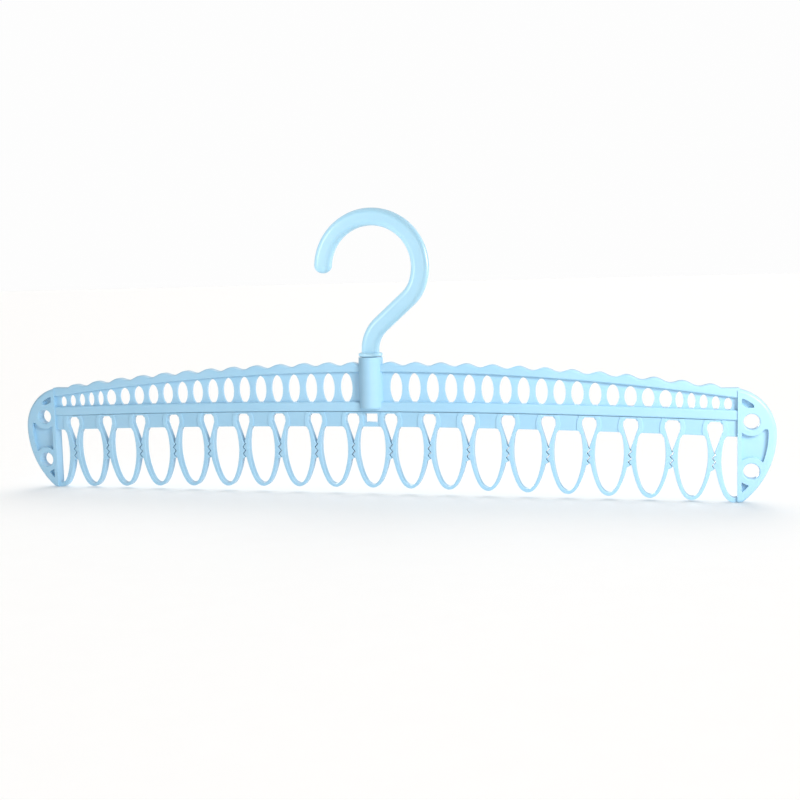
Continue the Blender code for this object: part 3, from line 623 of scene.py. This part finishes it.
class Flow:  # a socket that can be used in plain sums
    def __init__(self, tree, socket):
        self.tree, self.socket = tree, socket

    def sum(self, operation, other, flipped=False):
        node = self.tree.nodes.new("ShaderNodeMath")
        node.operation = operation
        for slot, value in zip(node.inputs, (other, self) if flipped else (self, other)):
            plug(self.tree, slot, value)
        return Flow(self.tree, node.outputs[0])

    def __add__(self, other): return self.sum("ADD", other)
    def __radd__(self, other): return self.sum("ADD", other)
    def __sub__(self, other): return self.sum("SUBTRACT", other)
    def __rsub__(self, other): return self.sum("SUBTRACT", other, True)
    def __mul__(self, other): return self.sum("MULTIPLY", other)
    def __rmul__(self, other): return self.sum("MULTIPLY", other)


def plug(tree, slot, value):
    if isinstance(value, Flow):
        tree.links.new(value.socket, slot)
    else:
        slot.default_value = value


class Finish:  # the nodes of a material or of the world
    def __init__(self, owner):
        self.owner = owner
        owner.use_nodes = True
        self.tree = owner.node_tree

    def node(self, kind, settings, sockets, output=0):
        made = self.tree.nodes.new(kind)
        for setting, value in settings.items():
            setattr(made, setting, value)
        for slot, value in sockets.items():
            plug(self.tree, made.inputs[slot], value)
        return Flow(self.tree, made.outputs[output])

    def feed(self, name, sockets):
        for slot, value in sockets.items():
            plug(self.tree, self.tree.nodes[name].inputs[slot], value)

    def blend(self, share, first, second):  # one colour into another; sockets 6 and 7 are the two colours
        return self.node("ShaderNodeMix", {"data_type": "RGBA"}, {0: share, 6: first, 7: second}, 2)


plastic = {
    "deep": (0.330, 0.580, 0.765, 1), "pale": (0.375, 0.618, 0.795, 1),
    "hookDeep": (0.395, 0.670, 0.835, 1), "hookPale": (0.440, 0.708, 0.865, 1),
    "cloudShare": 0.75, "flowShare": 0.25, "deepUnder": 0.3, "paleOver": 0.7, "shiftY": 0.7, "shiftZ": 0.3,
    "roughness": 0.34, "cloudRoughness": 0.08, "scuffRoughness": 0.14, "middle": 0.5,
    "grainHeight": 0.000012, "grainStrength": 0.35, "ior": 1.49, "coat": 0.15, "coatRoughness": 0.22,
    "inside": 0.15, "insideRadius": (0.6, 0.9, 1.0), "insideScale": 0.0025,
    # painted shade on the flanks: how much darker they are painted, and the depths from the middle over which
    # it fades into the faces
    "flankPaintedShade": 0.90, "fingerPaintedShadeDepths": (0.0013, 0.0021), "hookPaintedShadeDepths": (0.0004, 0.0026),
    "hookShift": 0.31, "fingerShift": 0.05,
}
noises = {
    "cloud": {"scale": 16.0, "detail": 3.0, "turn": (0, 0, 0), "stretch": (1, 1, 1)},
    "flow": {"scale": 260.0, "detail": 2.0, "turn": (0, 0, 0), "stretch": (0.25, 1.0, 1.0)},
    "scuff": {"scale": 150.0, "detail": 4.0, "turn": (0.3, 0.9, 0.5), "stretch": (1.0, 0.15, 6.0)},
    "grain": {"scale": 1900.0, "detail": 2.0, "turn": (0, 0, 0), "stretch": (1, 1, 1)},
}


# side: depths over which painted shade darkens the flanks; None leaves the flanks without it
def skyPlastic(name, shift, deep="deep", pale="pale", side=None):
    made = Finish(bpy.data.materials.new(name))
    place = made.node("ShaderNodeTexCoord", {}, {}, "Object")
    offset = (shift, shift * plastic["shiftY"], shift * plastic["shiftZ"])
    moved = made.node("ShaderNodeMapping", {}, {"Vector": place, "Location": offset})

    def noise(kind):
        look = noises[kind]
        laid = made.node("ShaderNodeMapping", {},
                         {"Vector": moved, "Rotation": look["turn"], "Scale": look["stretch"]})
        return made.node("ShaderNodeTexNoise", {},
                         {"Vector": laid, "Scale": look["scale"], "Detail": look["detail"]}, "Fac")

    cloud, flow, scuff, grain = noise("cloud"), noise("flow"), noise("scuff"), noise("grain")
    share = made.node("ShaderNodeMapRange", {"clamp": True},
                      {"Value": cloud * plastic["cloudShare"] + flow * plastic["flowShare"],
                       "From Min": plastic["deepUnder"], "From Max": plastic["paleOver"]}, "Result")
    colour = made.blend(share, plastic[deep], plastic[pale])
    if side:  # painted shade: the flanks are darkened below the front and the back, standing in for the shade that falls on them
        across = made.node("ShaderNodeSeparateXYZ", {}, {"Vector": place}, "Y")
        front = made.node("ShaderNodeMapRange", {"clamp": True},
                          {"Value": across * across, "From Min": side[0] ** 2, "From Max": side[1] ** 2},
                          "Result")
        # the deep blue darkened as painted shade for the flanks
        flank = tuple(level * plastic["flankPaintedShade"] for level in plastic[deep][:3]) + (1,)
        colour = made.blend(front, flank, colour)
    roughness = (plastic["roughness"] + (cloud - plastic["middle"]) * plastic["cloudRoughness"]
                 + (scuff - plastic["middle"]) * plastic["scuffRoughness"])
    bump = made.node("ShaderNodeBump", {}, {"Height": grain, "Strength": plastic["grainStrength"],
                                            "Distance": plastic["grainHeight"]})
    made.feed("Principled BSDF", {
        "Base Color": colour, "Roughness": roughness, "Normal": bump, "IOR": plastic["ior"],
        "Coat Weight": plastic["coat"], "Coat Roughness": plastic["coatRoughness"],
        "Subsurface Weight": plastic["inside"], "Subsurface Radius": plastic["insideRadius"],
        "Subsurface Scale": plastic["insideScale"],
    })
    return made.owner


def dress(piece, material):
    piece.data.materials.clear()
    piece.data.materials.append(material)


dress(hookMoulding, skyPlastic("hookPlastic", plastic["hookShift"], "hookDeep", "hookPale",
                               plastic["hookPaintedShadeDepths"]))
dress(barMoulding, skyPlastic("barPlastic", 0.0))
for number, piece in enumerate(fingers):
    dress(piece, skyPlastic(f"fingerPlastic_{number + 1:02d}", plastic["fingerShift"] * number,
                            side=plastic["fingerPaintedShadeDepths"]))
for solid in frame["nodes"].values():
    dress(solid, hookMoulding.data.materials[0])
print("plastic set")

stage = {
    "floorSize": 60.0, "paperDeep": (0.980, 0.968, 0.955, 1), "paperPale": (0.995, 0.985, 0.972, 1),
    "paperScale": 60.0, "paperRoughness": 0.7, "paperIor": 1.2, "ambient": 0.30, "backdrop": 0.985,
    "topFrom": (-0.05, 0.58, 0.81), "topAngle": 95.0, "topPower": 1.25, "floorPower": 0.96,
    "shadeFrom": (-0.05, 0.75, 0.66), "shadeAngle": 40.0, "shadePower": 0.52,
    "keyFrom": (0.50, -0.38, 0.15), "keySize": (0.20, 0.20), "keyPower": 3.1,
    "fillFrom": (0.30, -1.00, 0.10), "fillSize": (0.35, 0.50), "fillPower": 2.3,
    "sideFrom": (0.34, -0.20, 0.04), "sideSize": (0.12, 0.12), "sidePower": 0.15,
    "hookFrom": (-0.42, -0.55, 0.10), "hookSize": (0.20, 0.20), "hookPower": 2.3,
    "rimFrom": (0.49, 0.24, 0.06), "rimSize": (0.20, 0.20), "rimPower": 2.6,
    "backFrom": (-0.20, 1.00, -0.10), "backSize": (0.50, 0.20), "backPower": 2.0,
}
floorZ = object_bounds()[0].z
bpy.ops.object.select_all(action="DESELECT")
bpy.ops.mesh.primitive_plane_add(size=stage["floorSize"], location=(0, 0, floorZ))
floor = bpy.context.object
floor.name = "floor"
paper = Finish(bpy.data.materials.new("floorPaper"))
fibre = paper.node("ShaderNodeTexNoise", {}, {"Vector": paper.node("ShaderNodeTexCoord", {}, {}, "Object"),
                                              "Scale": stage["paperScale"]}, "Fac")
paper.feed("Principled BSDF", {"Base Color": paper.blend(fibre, stage["paperDeep"], stage["paperPale"]),
                               "Roughness": stage["paperRoughness"], "IOR": stage["paperIor"]})
dress(floor, paper.owner)

bpy.context.scene.world = bpy.data.worlds.new("studio")
studio = Finish(bpy.context.scene.world)
seen = studio.node("ShaderNodeLightPath", {}, {}, "Is Camera Ray")  # looks brighter than it lights
studio.feed("Background", {"Color": (1, 1, 1, 1),
                           "Strength": stage["ambient"] + seen * (stage["backdrop"] - stage["ambient"])})


def lightGroup(name, pieces):  # pieces that a lamp may light
    made = bpy.data.collections.new(name)
    for piece in pieces:
        made.objects.link(piece)
    return made


floorOnly = lightGroup("floorOnly", [floor])
hookOnly = lightGroup("hookOnly", [hookMoulding])
barOnly = lightGroup("barOnly", [barMoulding, *fingers])
hangerOnly = lightGroup("hangerOnly", [hookMoulding, barMoulding, *fingers])


def lamp(name, kind, place, energy, **settings):
    made = bpy.data.objects.new(name, bpy.data.lights.new(name, kind))
    bpy.context.scene.collection.objects.link(made)
    made.data.energy = energy
    for setting, value in settings.items():
        setattr(made.data, setting, value)
    made.location = place
    aim = Vector(place) - Vector((0, 0, levels["railLow"]))
    made.rotation_euler = aim.to_track_quat("Z", "Y").to_euler()
    return made


lamp("topLight", "SUN", stage["topFrom"], stage["topPower"], angle=math.radians(stage["topAngle"]))
shade = lamp("shadeLight", "SUN", stage["shadeFrom"], stage["shadePower"],
             angle=math.radians(stage["shadeAngle"]))
even = lamp("floorLight", "SUN", stage["topFrom"], stage["floorPower"], use_shadow=False)
for made in (shade, even):
    made.light_linking.receiver_collection = floorOnly
groups = {"key": barOnly, "fill": hangerOnly, "side": barOnly, "hook": hookOnly, "rim": hookOnly,
          "back": barOnly}
for name, group in groups.items():  # these light the hanger alone, so the floor stays even
    box = lamp(name + "Light", "AREA", stage[name + "From"], stage[name + "Power"], shape="RECTANGLE",
               size=stage[name + "Size"][0], size_y=stage[name + "Size"][1])
    box.light_linking.receiver_collection = group

view = {
    "eyeX": 0.1937, "eyeY": -0.6646, "eyeUp": 0.1211, "yaw": 14.90, "pitch": 5.82, "roll": -1.37,
    "focal": 1202.65, "pixels": 800, "sensor": 36, "near": 0.01,
}
yaw, pitch, roll = (math.radians(view[key]) for key in ("yaw", "pitch", "roll"))
forward = Vector((-math.sin(yaw) * math.cos(pitch), math.cos(yaw) * math.cos(pitch), -math.sin(pitch)))
level = Vector((math.cos(yaw), math.sin(yaw), 0))
rise = level.cross(forward)
right = level * math.cos(roll) + rise * math.sin(roll)
up = rise * math.cos(roll) - level * math.sin(roll)
camera = bpy.data.objects.new("camera", bpy.data.cameras.new("camera"))
bpy.context.scene.collection.objects.link(camera)
camera.matrix_world = Matrix(((right.x, up.x, -forward.x, view["eyeX"]),
                              (right.y, up.y, -forward.y, view["eyeY"]),
                              (right.z, up.z, -forward.z, view["eyeUp"] + levels["clipLow"]),
                              (0, 0, 0, 1)))
camera.data.sensor_width = view["sensor"]
camera.data.lens = view["focal"] / view["pixels"] * view["sensor"]
camera.data.clip_start = view["near"]
bpy.context.scene.camera = camera
bpy.context.scene.view_settings.view_transform = "Standard"
print("stage set")
